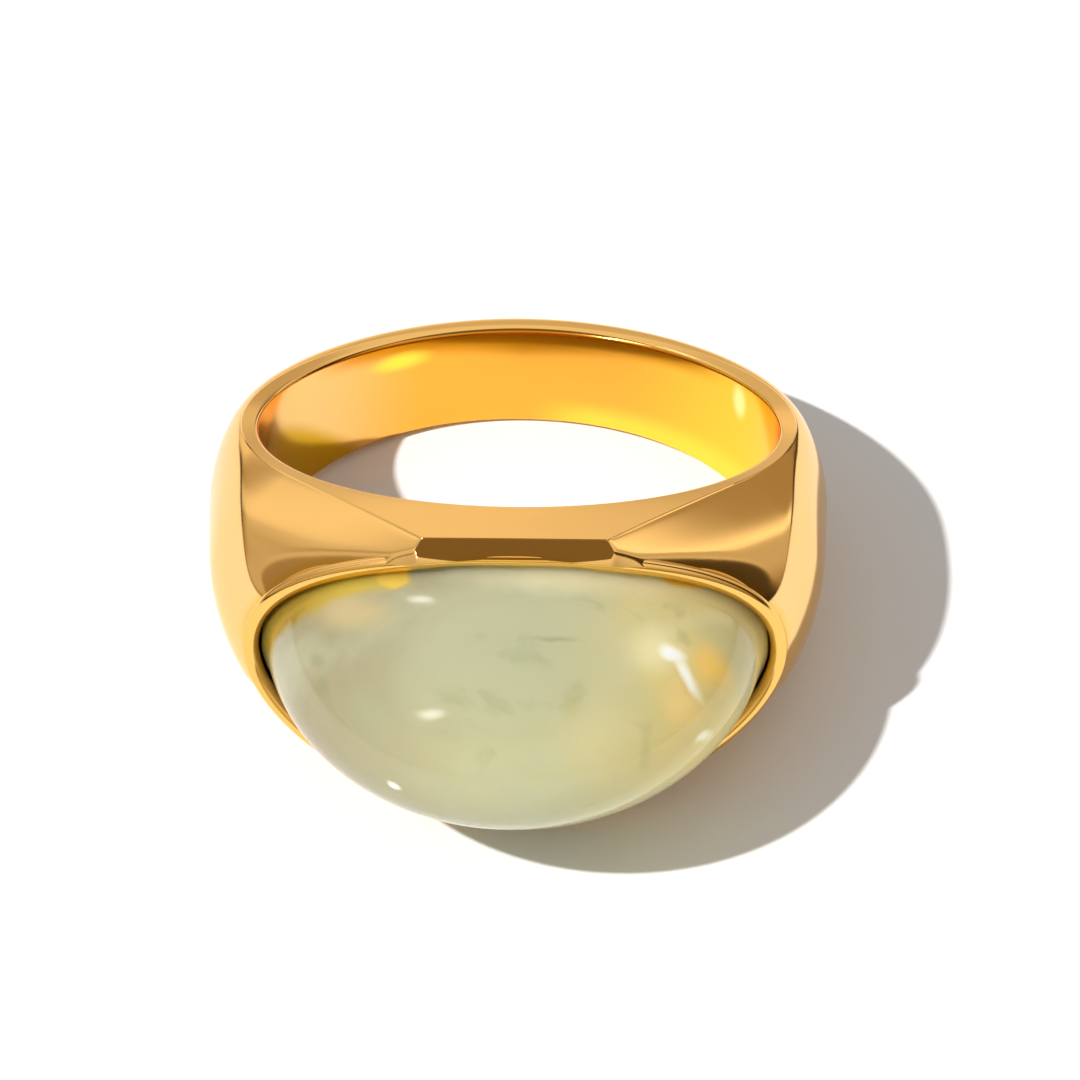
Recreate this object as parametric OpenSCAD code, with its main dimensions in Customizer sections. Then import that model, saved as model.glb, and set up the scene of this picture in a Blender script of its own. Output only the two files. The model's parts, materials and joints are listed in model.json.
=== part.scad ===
// Dome ring, lying on its side.
// One cast band widens from a narrow shank to a broad head, and a tall oval
// cabochon sits in an opening cut into the front of the head.
// Both pieces are shaped round the finger axis, Z, with the head towards -Y.
// The whole ring is then leaned until its lower side face rests on z = 0.

/* [Finger hole] */
// Diameter of the finger hole
finger_d = 17.3; // [16:0.1:19]
// Softening of the finger hole's two edges
comfort_r = 0.15; // [0.1:0.05:0.3]

/* [Shank] */
// Width of the shank at the back, along the finger
shank_w = 3.5; // [3:0.1:5]
// Thickness of the shank at the back
shank_t = 1.45; // [1.2:0.05:2]
// Thickness of the band at the two sides of the finger
side_t = 1.65; // [1.4:0.05:2.2]

/* [Head] */
// Width of the head along the finger, at the edge of the finger hole
head_w = 9.3; // [9:0.1:10]
// Depth of the head's full dome in front of the finger hole
head_t = 4.2; // [4:0.1:4.8]
// Breadth of the head's flat side faces, up to their straight front edge
head_face = 2.95; // [2.6:0.05:3.1]
// Outward rise of the side faces, in mm per mm
face_rise = 0.16; // [0.12:0.01:0.2]

/* [Setting] */
// Length of the oval opening, across the finger
opening_l = 17; // [15:0.1:17]
// Width of the oval opening, along the finger
opening_w = 9.1; // [8:0.1:9.1]
// Wall left between the finger hole and the stone
seat_wall = 0.6; // [0.5:0.05:0.8]
// Depth of the setting's ledges below the front of the head
seat_depth = 5.2; // [4.8:0.1:5.4]

/* [Stone] */
// Gap between the stone and the opening at each end of the oval
end_gap = 0.48; // [0.2:0.02:0.6]
// Gap between the stone and the opening along its two long sides
side_gap = 0.13; // [0.1:0.01:0.3]
// Gap between the stone and the metal it sits on
seat_gap = 0.05; // [0.05:0.05:0.1]
// Height of the girdle, where the dome begins, above the finger hole's wall
girdle_t = 0.95; // [0.8:0.05:1.2]
// Height of the stone's dome above its girdle
dome_t = 9.2; // [6:0.1:10]

/* [Hidden] */

// Shape powers: 2 gives an ellipse, more a boxier curve, less a slacker one.
plan_power = 2.95;
widen_power = 1.42;
crown_back = 3.2;
crown_side = 1.55;
crown_head = 2.45;
dome_outline = 2.1;
dome_profile = 1.7;

// Breadth of the flat side faces along the back and beside the finger.
face_back = 0.3;
face_side = 0.55;

// Cheeks: where their line leaves the hole's edge, as an angle from the front,
// how steeply they slope away from the side face, and how they then fall faster.
cheek_turn = 54.2;
cheek_slope = 0.58;
cheek_fall = 0.0015;
cheek_power = 5.5;

// Slope of the bevel in front of the side faces.
bevel_slope = 0.758;

// Collar facet, between a cheek and the opening: where it faces, as a turn away
// from the front and a tilt upwards, and how far from the hole's middle it lies.
collar_turn = 52.4;
collar_tilt = 38.9;
collar_reach = 10.77;

// How far the stone's girdle flares at each end, and over which height.
girdle_flare = 0.2;
flare_h = 0.5;

// Fineness: stations round the finger, steps on a crown, steps on the stone.
stations = 100;
crown_steps = 12;
oval_steps = 60;
dome_steps = 11;

// Depth inside the finger hole to which the lofted body reaches before it is bored.
bore_skin = 0.3;
clear = 1;

hole_r = finger_d / 2;
side_r = hole_r + side_t;
face_front = hole_r + head_face;
seat_r = hole_r + seat_wall;
seat_y = hole_r + head_t - seat_depth;

// Share of the way from the back (0) to the middle of the head (1).
function headward(a) = (1 + cos(a)) / 2;
function ease(t) = t * t * (3 - 2 * t);
function blend(from, to, t) = from + (to - from) * t;

// Half the band's width at the edge of the finger hole.
function half_w(a) = blend(shank_w, head_w, pow(headward(a), widen_power)) / 2;

// How squarely a cheek's line is met at an angle: 1 where it leaves the hole's edge.
function squareness(a) =
    cos(a) < cos(cheek_turn) ? 1 : cos(cheek_turn) * cos(a) + sin(cheek_turn) * abs(sin(a));

// Outer edge of the flat side face: round the shank it follows the hole, then it
// runs straight along each cheek, and straight again across the front.
function face_r(a) =
    let (along_hole = hole_r + blend(face_side, face_back, pow(min(0, cos(a)), 2)))
    min(along_hole / squareness(a), face_front / max(0.1, cos(a)));

// Outer radius at mid width: an ellipse at the back, a fuller curve at the head.
function outer_r(a) =
    let (
        power = blend(2, plan_power, ease(min(1, max(0, 2 * cos(a))))),
        depth = hole_r + (cos(a) < 0 ? shank_t : head_t)
    )
    pow(pow(abs(sin(a)) / side_r, power) + pow(abs(cos(a)) / depth, power), -1 / power);

// Fullness of the crown that runs from the side face to mid width.
function crown_power(a) = blend(crown_side, cos(a) < 0 ? crown_back : crown_head, pow(cos(a), 2));

// Height of the cheek beyond the side face's edge. It fades out behind the sides.
function cheek_h(a, edge_h, out) =
    let (d = out * squareness(a), share = ease(min(1, max(0, 4 * cos(a)))))
    edge_h - share * (cheek_slope * d + cheek_fall * pow(d, cheek_power));

// Height of the bevel in front of the side faces.
function bevel_h(a, r) =
    half_w(0) + face_rise * head_face - bevel_slope * (r * cos(a) - face_front);

// Height of the collar facet.
function collar_h(a, r) =
    (collar_reach - cos(collar_tilt) * r * (abs(sin(a)) * sin(collar_turn) + cos(a) * cos(collar_turn)))
    / sin(collar_tilt);

// Upper half of the band's section at one station, as [radius, height] pairs.
function half_section(a) =
    let (
        h = half_w(a),
        edge_r = face_r(a),
        edge_h = h + face_rise * (edge_r - hole_r),
        bulge = outer_r(a) - edge_r,
        bend = 2 / crown_power(a),
        soft = comfort_r * (1 - cos(45))
    )
    concat(
        [
            [hole_r - bore_skin, h - soft - 2 * bore_skin],
            [hole_r + soft, h - soft],
            [hole_r + comfort_r, h + face_rise * comfort_r]
        ],
        [
            for (k = [0 : crown_steps])
                let (t = 90 * k / crown_steps, out = bulge * pow(sin(t), bend))
                let (r = edge_r + out)
                [r, min(edge_h * pow(cos(t), bend), cheek_h(a, edge_h, out), bevel_h(a, r), collar_h(a, r))]
        ]
    );

// Whole section: the upper half, then its mirror image without the shared point.
function section(a) =
    let (upper = half_section(a), last = len(upper) - 1)
    concat(upper, [for (k = [1 : last]) [upper[last - k][0], -upper[last - k][1]]]);

function round_finger(a, p) = [p[0] * sin(a), -p[0] * cos(a), p[1]];

band_rings = [for (i = [0 : stations - 1]) let (a = 360 * i / stations)
    [for (p = section(a)) round_finger(a, p)]];

// Stone: rows of points from its base over the girdle to the top of the dome.
stone_half_l = opening_l / 2 - end_gap;
stone_half_w = opening_w / 2 - side_gap;
girdle_y = hole_r + girdle_t;
function oval_row(size, y) =
    let (flare = girdle_flare * exp(min(0, girdle_y - y) / flare_h))
    [for (i = [0 : oval_steps - 1]) let (a = 360 * i / oval_steps)
        [(stone_half_l * size + flare) * cos(a), -y, stone_half_w * size * sin(a)]];
stone_rows = concat(
    [oval_row(1, seat_y + seat_gap)],
    [for (k = [0 : dome_steps - 1])
        let (t = 90 * k / dome_steps)
        oval_row(pow(cos(t), 2 / dome_outline), girdle_y + dome_t * pow(sin(t), 2 / dome_profile))]
);
dome_top = [0, -girdle_y - dome_t, 0];

function flatten(rows) = [for (row = rows) for (p = row) p];

// Rest: the lower side touches the floor at the head's face and at the back.
rest_front = round_finger(0, [face_front, -half_w(0) - face_rise * head_face]);
back_section = [for (p = section(180)) round_finger(180, p)];
lean = min([for (p = back_section) if (p[1] > hole_r)
    atan2(p[2] - rest_front[2], p[1] - rest_front[1])]);
function leaned(p) = [p[0], p[1] * cos(lean) + p[2] * sin(lean), p[2] * cos(lean) - p[1] * sin(lean)];
front_y = min([for (p = concat(flatten(stone_rows), [dome_top])) leaned(p)[1]]);
back_y = max([for (p = flatten(band_rings)) leaned(p)[1]]);

module at_rest() {
    translate([0, -(front_y + back_y) / 2, -leaned(rest_front)[2]])
        rotate([-lean, 0, 0])
            children();
}

// Closed loft through rings of equal length that themselves close into a loop.
module closed_loft(rings) {
    count = len(rings);
    size = len(rings[0]);
    polyhedron(
        points = flatten(rings),
        faces = [
            for (i = [0 : count - 1], j = [0 : size - 1], half = [0, 1])
                let (
                    next_i = (i + 1) % count,
                    next_j = (j + 1) % size
                )
                half == 0
                    ? [i * size + j, next_i * size + next_j, i * size + next_j]
                    : [i * size + j, next_i * size + j, next_i * size + next_j]
        ]
    );
}

// Solid through rows of equal length, flat at the first row and pointed past the last.
module domed_loft(rows, tip) {
    count = len(rows);
    size = len(rows[0]);
    tip_at = count * size;
    polyhedron(
        points = concat(flatten(rows), [tip]),
        faces = concat(
            [[for (j = [0 : size - 1]) j]],
            [
                for (i = [0 : count - 2], j = [0 : size - 1], half = [0, 1])
                    let (next_j = (j + 1) % size)
                    half == 0
                        ? [i * size + j, (i + 1) * size + next_j, i * size + next_j]
                        : [i * size + j, (i + 1) * size + j, (i + 1) * size + next_j]
            ],
            [for (j = [0 : size - 1]) [tip_at - size + j, tip_at, tip_at - size + (j + 1) % size]]
        )
    );
}

// Oval opening cut in from the front, down to two end ledges and, between them,
// to a wall that stays concentric with the finger hole.
module seat_cut() {
    difference() {
        translate([0, -seat_y, 0])
            rotate([90, 0, 0])
                linear_extrude(height = dome_t + head_t)
                    polygon([for (i = [0 : oval_steps - 1]) let (a = 360 * i / oval_steps)
                        [opening_l / 2 * cos(a), opening_w / 2 * sin(a)]]);
        cylinder(r = seat_r, h = 2 * head_w, center = true, $fn = 96);
    }
}

module band() {
    color([0.93, 0.72, 0.38])
        at_rest()
            difference() {
                closed_loft(band_rings);
                cylinder(r = hole_r, h = head_w + 2 * clear, center = true, $fn = 96);
                seat_cut();
            }
}

// Oval cabochon, its back hollowed to follow the finger.
module stone() {
    color([0.78, 0.80, 0.62])
        at_rest()
            difference() {
                domed_loft(stone_rows, dome_top);
                cylinder(r = seat_r + seat_gap, h = 2 * head_w, center = true, $fn = 96);
            }
}

band();
stone();
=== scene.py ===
# %% [markdown]
# # A dome ring with an oval cabochon
# The ring lies on its side on a white table. Two pieces make it. The band is one polished casting:
# a narrow shank that widens into a broad head, with an oval opening cut into the head's front. The
# cabochon is a tall, smooth, cloudy green stone that sits in the opening.
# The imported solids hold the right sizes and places, but they are faceted, and a mirror finish shows
# every facet. So both pieces are made again as fine meshes that follow the same rule, and the band
# gets the fine rolled bead round its opening.

# %% Load the fixed frame
import json
import math

import bpy
import numpy as np
from mathutils import Matrix, Vector


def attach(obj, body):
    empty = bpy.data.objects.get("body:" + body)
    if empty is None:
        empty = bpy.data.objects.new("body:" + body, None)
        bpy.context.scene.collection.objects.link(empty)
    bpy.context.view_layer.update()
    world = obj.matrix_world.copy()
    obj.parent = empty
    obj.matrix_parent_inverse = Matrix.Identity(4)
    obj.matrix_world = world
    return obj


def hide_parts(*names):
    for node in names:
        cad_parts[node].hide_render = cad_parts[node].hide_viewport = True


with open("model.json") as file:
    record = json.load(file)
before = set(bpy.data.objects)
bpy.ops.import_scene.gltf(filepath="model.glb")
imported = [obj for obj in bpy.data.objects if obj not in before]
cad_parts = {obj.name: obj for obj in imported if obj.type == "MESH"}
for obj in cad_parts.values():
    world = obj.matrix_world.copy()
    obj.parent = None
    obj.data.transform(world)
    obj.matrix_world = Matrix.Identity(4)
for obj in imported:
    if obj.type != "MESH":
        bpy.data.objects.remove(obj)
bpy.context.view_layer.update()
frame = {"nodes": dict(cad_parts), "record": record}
MM = 0.001
print("CAD nodes:", sorted(frame["nodes"]))

# %% [markdown]
# The finger hole is the ring's own reference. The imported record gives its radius, its middle and
# its axis, and the axis also says how far the ring leans as it lies on its side. Everything below
# is first shaped round an upright finger axis, in millimetres, and then leaned into place.

# %% Read the finger hole from the record
finger_hole = frame["record"]["mounts"][0]
finger_r = finger_hole["dims"]["r_mm"]
hole_middle = Vector(finger_hole["pos_m"]) / MM
lean = math.atan2(finger_hole["axis"][1], finger_hole["axis"][2])
print(f"finger hole: radius {finger_r} mm, leaning {math.degrees(lean):.2f} degrees")

# %% [markdown]
# The band's shape is a formula, so it can be written once and used twice. Python needs it to find
# the rim of the opening, and Geometry Nodes need it to place every point. A `Wire` is a number that
# flows through a node tree: adding two wires adds a Math node. The functions below take plain
# numbers, whole arrays or wires, so the same formula serves both.

# %% Arithmetic that also builds nodes


class Wire:
    """A number that flows through a node tree."""

    def __init__(self, tree, socket):
        self.tree = tree
        self.socket = socket


def math_node(operation, *inputs):
    """Adds a Math node that takes these wires and numbers, and returns its wire."""
    tree = next(item.tree for item in inputs if isinstance(item, Wire))
    node = tree.nodes.new("ShaderNodeMath")
    node.operation = operation
    for socket, item in zip(node.inputs, inputs):
        if isinstance(item, Wire):
            tree.links.new(item.socket, socket)
        else:
            socket.default_value = item
    return Wire(tree, node.outputs[0])


for sign, operation in {"add": "ADD", "sub": "SUBTRACT", "mul": "MULTIPLY", "truediv": "DIVIDE"}.items():
    setattr(Wire, f"__{sign}__", lambda one, two, kind=operation: math_node(kind, one, two))
    setattr(Wire, f"__r{sign}__", lambda one, two, kind=operation: math_node(kind, two, one))


def either(operation, on_arrays):
    """A function that adds a Math node where a wire goes in, and otherwise works on numbers."""
    def chosen(*inputs):
        if any(isinstance(item, Wire) for item in inputs):
            return math_node(operation, *inputs)
        return on_arrays(*inputs)
    return chosen


cosine = either("COSINE", np.cos)
sine = either("SINE", np.sin)
power = either("POWER", np.power)
root = either("SQRT", np.sqrt)
exponential = either("EXPONENT", np.exp)
least = either("MINIMUM", np.minimum)
largest = either("MAXIMUM", np.maximum)
without_sign = either("ABSOLUTE", np.abs)
is_over = either("GREATER_THAN", lambda one, two: np.where(one > two, 1.0, 0.0))
print("one arithmetic for numbers, arrays and nodes")

# %% Ways to blend


def held(share):
    """Keeps a share between 0 and 1."""
    return least(largest(share, 0), 1)


def blend(start, end, share):
    return start + (end - start) * share


def ease(share):
    """Starts and stops a blend softly."""
    return share * share * (3 - 2 * share)


def ramp(value, start, end):
    """Goes softly from 0 to 1 while the value goes from start to end."""
    return ease(held((value - start) / (end - start)))


def softly_least(one, two, softness):
    """The lesser of two heights, with their crossing rounded off."""
    apart = one - two
    return (one + two - root(apart * apart + softness * softness)) / 2


print("a ramp from 2 to 6 is at", float(ramp(3.0, 2, 6)), "when the value is 3")

# %% [markdown]
# These are the band's driving sizes in millimetres. The shape powers say how full a curve is: 2
# gives an ellipse, more a boxier curve, less a slacker one. A cheek is the sloping side of the
# head. It begins along a line that leaves the finger hole's edge at the cheek angle. The bevel
# slopes down in front of the side faces, and the collar is the facet between a cheek and the
# opening. The bead is the rolled edge of the opening.

# %% The band's sizes
band_sizes = {
    "finger radius": finger_r,
    "edge softening": 0.15,
    "shank width": 3.5,
    "shank depth": 1.45,
    "side depth": 1.65,
    "head width": 9.3,
    "head depth": 4.2,
    "face at back": 0.3,
    "face at side": 0.55,
    "face at head": 2.95,
    "face rise": 0.16,
    "cheek angle": math.radians(54.2),
    "cheek slope": 0.58,
    "cheek fall": 0.0015,
    "cheek power": 5.5,
    "bevel slope": 0.758,
    "collar angle": math.radians(52.4),
    "collar tilt": math.radians(38.9),
    "collar reach": 10.77,
    "ridge softness": 0.04,
    "corner softness": 0.01,
    "widening power": 1.42,
    "plan power": 2.95,
    "crown power at back": 3.2,
    "crown power at side": 1.55,
    "crown power at head": 2.45,
    "seat radius": finger_r + 0.6,
    "ledge": 7.65,
    "opening half length": 17 / 2,
    "opening half width": 9.1 / 2,
    "bead at middle": 0.16,
    "bead at side": 0.28,
    "bead shift": 0.25,
    "bead front": 12.12,
    "bead sweep": 0.0466,
    "bead power": 1.86,
}
opening_half_l = band_sizes["opening half length"]
opening_half_w = band_sizes["opening half width"]
print(len(band_sizes), "sizes drive the band")

# %% [markdown]
# A point on the band is named by three numbers. The angle goes round the finger, from 0 at the head.
# The station goes over the section: 0 to 1 is the softened edge of the finger hole, 1 to 2 the flat
# side face, 2 to 3 the crown up to mid width. The side is 1 above mid width and -1 below, and
# values between the two lie on the wall of the finger hole.

# %% The band's rule
QUARTER_TURN = math.pi / 2
# Keeps the radius of the straight front edge from growing without end beside the finger
LEAST_FACING = 0.1


def band_surface(angle, station, side, size):
    facing = cosine(angle)
    aside = without_sign(sine(angle))
    to_head = largest(facing, 0)
    to_back = largest(0 - facing, 0)

    widening = power((1 + facing) / 2, size["widening power"])
    half_w = blend(size["shank width"], size["head width"], widening) / 2
    back_share = to_back * to_back
    head_share = to_head * to_head
    fullness = 2 / (
        size["crown power at side"]
        + (size["crown power at back"] - size["crown power at side"]) * back_share
        + (size["crown power at head"] - size["crown power at side"]) * head_share
    )
    plan = blend(2, size["plan power"], ease(held(facing * 2)))
    depth = blend(size["shank depth"], size["head depth"], is_over(facing, 0))
    across = power(aside / (size["finger radius"] + size["side depth"]), plan)
    along = power(without_sign(facing) / (size["finger radius"] + depth), plan)
    outer_r = power(across + along, -1 / plan)

    cheek_line = cosine(size["cheek angle"]) * facing + sine(size["cheek angle"]) * aside
    squareness = blend(1, cheek_line, is_over(facing, cosine(size["cheek angle"])))
    along_hole = size["finger radius"] + blend(size["face at side"], size["face at back"], back_share)
    face_front = size["finger radius"] + size["face at head"]
    front_edge = face_front / largest(facing, LEAST_FACING)
    edge_r = softly_least(along_hole / squareness, front_edge, size["corner softness"])
    face_w = edge_r - size["finger radius"]
    edge_h = half_w + size["face rise"] * face_w

    edge = held(station) * QUARTER_TURN
    face = held(station - 1)
    crown = held(station - 2) * QUARTER_TURN
    soft = size["edge softening"]
    out = (outer_r - edge_r) * power(sine(crown), fullness)
    radius = size["finger radius"] + soft * (1 - cosine(edge)) + (face_w - soft) * face + out
    height = half_w - soft + soft * (1 + size["face rise"]) * sine(edge)
    height = height + size["face rise"] * (face_w - soft) * face
    height = height * power(cosine(crown), fullness)

    beyond = out * squareness
    drop = size["cheek slope"] * beyond + size["cheek fall"] * power(beyond, size["cheek power"])
    cheek_h = edge_h - drop * ease(held(facing * 4))
    head_h = size["head width"] / 2 + size["face rise"] * size["face at head"]
    bevel_h = head_h - size["bevel slope"] * (radius * facing - face_front)
    level = radius * (aside * sine(size["collar angle"]) + facing * cosine(size["collar angle"]))
    collar_h = (size["collar reach"] - cosine(size["collar tilt"]) * level) / sine(size["collar tilt"])
    softness = least(size["ridge softness"], out)
    for limit in (cheek_h, bevel_h, collar_h):
        height = softly_least(height, limit, softness)
    return radius * sine(angle), 0 - radius * facing, height * side


head_top = band_surface(0.0, 2.0, 1.0, band_sizes)
print("front edge of the head's upper face in mm:", [round(float(value), 2) for value in head_top])

# %% [markdown]
# Three short rules describe the opening. The bead is finer in the middle of the head than at its
# sides. It lies on one even sweep, whatever facets the crown has beside it, because a bead that
# followed every crease would look wavy. The opening's floor goes round the finger, a little way off
# its hole, and ends in a ledge on either side.

# %% The rules of the bead and of the opening's floor
BEAD_GROWS = (1.6, 3.6)


def bead_radius(x, size):
    return blend(size["bead at middle"], size["bead at side"], ramp(without_sign(x), *BEAD_GROWS))


def bead_path(x, size):
    """How far forward the bead lies."""
    return size["bead sweep"] * power(without_sign(x), size["bead power"]) - size["bead front"]


def seat_floor(x, seat_r, ledge):
    """How far forward the floor of the opening lies."""
    round_finger = root(largest(seat_r * seat_r - x * x, 0))
    return 0 - largest(round_finger, ledge)


print("the bead's foremost point in mm:", round(float(bead_path(0.0, band_sizes)), 2))

# %% [markdown]
# The opening is an oval cut straight back into the head. Its rim lies where the oval meets the
# crown, and no formula gives that directly, so it is found step by step: halve the range for the
# station that has the right height, then correct the angle, and repeat. A `wrap` of 1, 0 and -1
# names the crown's upper edge, mid width and lower edge.

# %% Find the rim of the opening
ANGLE_ROUNDS = 30
HALVINGS = 36
RIM_SAMPLES = 757
# The samples go a little more than once round, so that every point between them has two neighbours
RIM_END = 1.05 * math.pi


def crown_point(angle, wrap):
    """The angle, station and side that a wrap stands for."""
    return angle, 3 - np.abs(wrap), np.where(wrap < 0, -1.0, 1.0)


def on_crown(angle, wrap, size):
    return band_surface(*crown_point(angle, wrap), size)


def rim_of_opening(turn):
    """The rim's angle and wrap at each turn round the oval."""
    across = opening_half_l * np.cos(turn)
    height = opening_half_w * np.sin(turn)
    angle = np.arctan2(across, finger_r + band_sizes["head depth"])
    for _ in range(ANGLE_ROUNDS):
        low = np.zeros_like(turn)
        high = np.ones_like(turn)
        for _ in range(HALVINGS):
            middle = (low + high) / 2
            x, y, z = on_crown(angle, middle, band_sizes)
            low = np.where(z < np.abs(height), middle, low)
            high = np.where(z < np.abs(height), high, middle)
        forward = np.sqrt(x * x + y * y - across * across)
        angle = (angle + np.arctan2(across, forward)) / 2
    return angle, middle * np.where(height < 0, -1.0, 1.0)


turns = np.linspace(-RIM_END, RIM_END, RIM_SAMPLES)
rim_angles, rim_wraps = rim_of_opening(turns)
print(f"the opening reaches {math.degrees(rim_angles.max()):.1f} degrees round the finger")

# %% [markdown]
# A sheet is a flat list of points, each with the numbers that the rule reads, and the faces between
# them. It becomes a mesh whose points carry those numbers as attributes.

# %% A sheet of named points


class Sheet:
    """Points that carry the rule's numbers, and the faces between them."""

    def __init__(self, *names):
        self.values = {name: [] for name in names}
        self.faces = []
        self.count = 0

    def add(self, **given):
        """Adds a row of points and returns their indices."""
        rows = np.broadcast_arrays(*(np.atleast_1d(given[name]) for name in self.values))
        for name, row in zip(self.values, rows):
            self.values[name].append(row.astype(float).ravel())
        first = self.count
        self.count += rows[0].size
        return np.arange(first, self.count).reshape(rows[0].shape)

    def stitch(self, one, two):
        """Adds the faces between two closed rows of equal length."""
        self.quads(one, np.roll(one, -1), np.roll(two, -1), two)

    def quads(self, *corners):
        self.faces.extend(np.stack([corner.ravel() for corner in corners], axis=1).tolist())

    def fan(self, row, tip):
        """Closes a row with triangles that meet in one point."""
        self.faces.extend([int(one), int(two), int(tip)] for one, two in zip(row, np.roll(row, -1)))

    def mesh(self, name):
        """Makes the mesh. Its first three numbers stand in for a place, until the rule gives one."""
        columns = {key: np.concatenate(rows) for key, rows in self.values.items()}
        flat = list(columns.values())[:3]
        made = bpy.data.meshes.new(name)
        made.from_pydata(np.stack(flat, axis=1).tolist(), [], self.faces)
        for key, column in columns.items():
            made.attributes.new(key, "FLOAT", "POINT").data.foreach_set("value", column)
        return made


print("sheets are ready")

# %% [markdown]
# The band's sheet is a grid: angle one way, station the other, closed both ways. In front a patch is
# left out of the crown for the opening. Rows there go round the rim instead, from the patch's edge
# inwards, then over the rolled lip, down the wall of the opening and across its floor, so that the
# band is one closed skin. Rows lie close together at the crisp edges.

# %% Columns and rows of the band's grid
PATCH = math.radians(50)
FLANK = math.radians(88)
FRONT_STEPS = 250
FLANK_STEPS = 95
BACK_STEPS = 132
BORE_STEPS = 8
EDGE_STEPS = 5
FACE_SHARES = (0.35, 0.7, 0.9, 0.97, 0.993, 1)
CROWN_STEPS = 116
CROWN_CLOSE_ROW = 0.99
CROWN_EVEN_ROWS = 0.975


def band_angles():
    """Angles once round the finger, with the closest columns in front."""
    front = np.linspace(-PATCH, PATCH, FRONT_STEPS + 1)
    right = np.linspace(PATCH, FLANK, FLANK_STEPS + 1)[1:]
    back = np.linspace(FLANK, 2 * math.pi - FLANK, BACK_STEPS + 1)[1:-1]
    return np.concatenate([front, right, back, 2 * math.pi - right[::-1]])


def crown_wraps():
    """Wraps over the crown, with one close row beside each crisp edge."""
    even = np.linspace(CROWN_EVEN_ROWS, -CROWN_EVEN_ROWS, CROWN_STEPS - 3)
    return np.concatenate([[1, CROWN_CLOSE_ROW], even, [-CROWN_CLOSE_ROW, -1]])


def section_stations():
    """Stations and sides once round the section, and the row where the crown begins."""
    bore = [(0, side) for side in np.linspace(-1, 1, BORE_STEPS + 1)]
    top = list(np.linspace(0, 1, EDGE_STEPS + 1)[1:]) + [1 + share for share in FACE_SHARES]
    over = [(3 - abs(wrap), 1 if wrap > 0 else -1) for wrap in crown_wraps()[1:]]
    under = [(station, -1) for station in reversed(top[:-1])]
    whole = bore + [(station, 1) for station in top] + over + under
    return np.array(whole, float), len(bore) + len(top) - 1


print(len(band_angles()), "columns and", len(section_stations()[0]), "rows in the band's grid")

# %% The grid, with its patch left out
PLACE_NUMBERS = ("angle", "station", "side")
RIM_NUMBERS = ("rim angle", "rim station", "rim side")
LIP_NUMBERS = ("over lip", "down wall", "to middle")


def add_points(sheet, place, rim=None, lip=(0, 0, 0)):
    """Adds points of the band. Without a rim, each is its own rim and lies on no lip."""
    given = dict(zip(PLACE_NUMBERS, place))
    given.update(zip(RIM_NUMBERS, rim or place))
    given.update(zip(LIP_NUMBERS, lip))
    return sheet.add(**given)


def add_grid(sheet):
    """Adds the grid. Returns its indices, with -1 in the patch, and the crown's first row."""
    angles = band_angles()
    section, crown_start = section_stations()
    index = np.full((len(angles), len(section)), -1)
    in_patch = np.zeros(index.shape, bool)
    in_patch[1:FRONT_STEPS, crown_start + 1 : crown_start + CROWN_STEPS] = True
    columns, rows = np.nonzero(~in_patch)
    index[columns, rows] = add_points(sheet, (angles[columns], *section[rows].T))
    corners = [index, np.roll(index, -1, 1), np.roll(index, (-1, -1), (0, 1)), np.roll(index, -1, 0)]
    whole = np.all([corner >= 0 for corner in corners], axis=0)
    whole[:FRONT_STEPS, crown_start : crown_start + CROWN_STEPS] = False
    sheet.quads(*(corner[whole] for corner in corners))
    return index, crown_start


band_points = Sheet(*PLACE_NUMBERS, *RIM_NUMBERS, *LIP_NUMBERS)
grid_index, grid_crown = add_grid(band_points)
print(band_points.count, "points in the grid")

# %% [markdown]
# A ray from the patch's middle pairs every point of the patch's edge with a point of the rim, and
# the rows lie at shares of the way between them. They end where the bead begins. That distance is
# measured over the crown itself, because the crown is steep in places and nearly flat in others.

# %% From the patch's edge to the rim
RULER_STEPS = 60
LIP_REACH = 1.25


def border_of_patch(index, crown_start):
    """The patch's edge, once round: its points, and how far across and up they lie, from -1 to 1."""
    wraps = crown_wraps()
    crown = np.arange(crown_start, crown_start + CROWN_STEPS + 1)
    last = FRONT_STEPS
    right_edge = index[last, crown[:0:-1]]
    top_edge = index[last:0:-1, crown[0]]
    left_edge = index[0, crown[:-1]]
    bottom_edge = index[:last, crown[-1]]
    one = np.ones(CROWN_STEPS)
    leftwards = np.linspace(1, -1, last + 1)[:-1]
    across = np.concatenate([one, leftwards, -one, -leftwards])
    up = np.concatenate([wraps[:0:-1], np.ones(last), wraps[:-1], -np.ones(last)])
    return np.concatenate([right_edge, top_edge, left_edge, bottom_edge]), across, up


def rim_on_rays(across, up):
    """The rim's angle and wrap on the ray through each point of the patch's edge."""
    ray = np.unwrap(np.arctan2(rim_wraps, rim_angles / PATCH))
    ray = ray - ray[len(ray) // 2]
    return rim_of_opening(np.interp(np.arctan2(up, across), ray, turns))


def lip_shares(between):
    """The share of each ray, from the rim outwards, that the bead covers."""
    shares = np.linspace(0, 1, RULER_STEPS + 1)
    places = np.array([on_crown(*between(share), band_sizes) for share in shares])
    lengths = np.cumsum(np.linalg.norm(np.diff(places, axis=0), axis=1), axis=0)
    lengths = np.vstack([np.zeros(lengths.shape[1]), lengths])
    widths = LIP_REACH * bead_radius(places[0, 0], band_sizes)
    return np.array([np.interp(width, column, shares) for width, column in zip(widths, lengths.T)])


patch_border, border_across, border_up = border_of_patch(grid_index, grid_crown)
rim_angle, rim_wrap = rim_on_rays(border_across, border_up)
print(len(patch_border), "points on the patch's edge, each with one on the rim")

# %% The rows round the opening
PATCH_SHARES = (0.99, 0.97, 0.94, 0.91, *np.linspace(0.88, 0.04, 25), 0.02, 0)
LIP_STEPS = 15
# A lip of exactly 0 is the plain crown, so the bead's first row lies just past it
LIP_START = 0.001
WALL_STEPS = 3
FLOOR_SHARES = (0.3, 0.6, 0.85)


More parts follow.
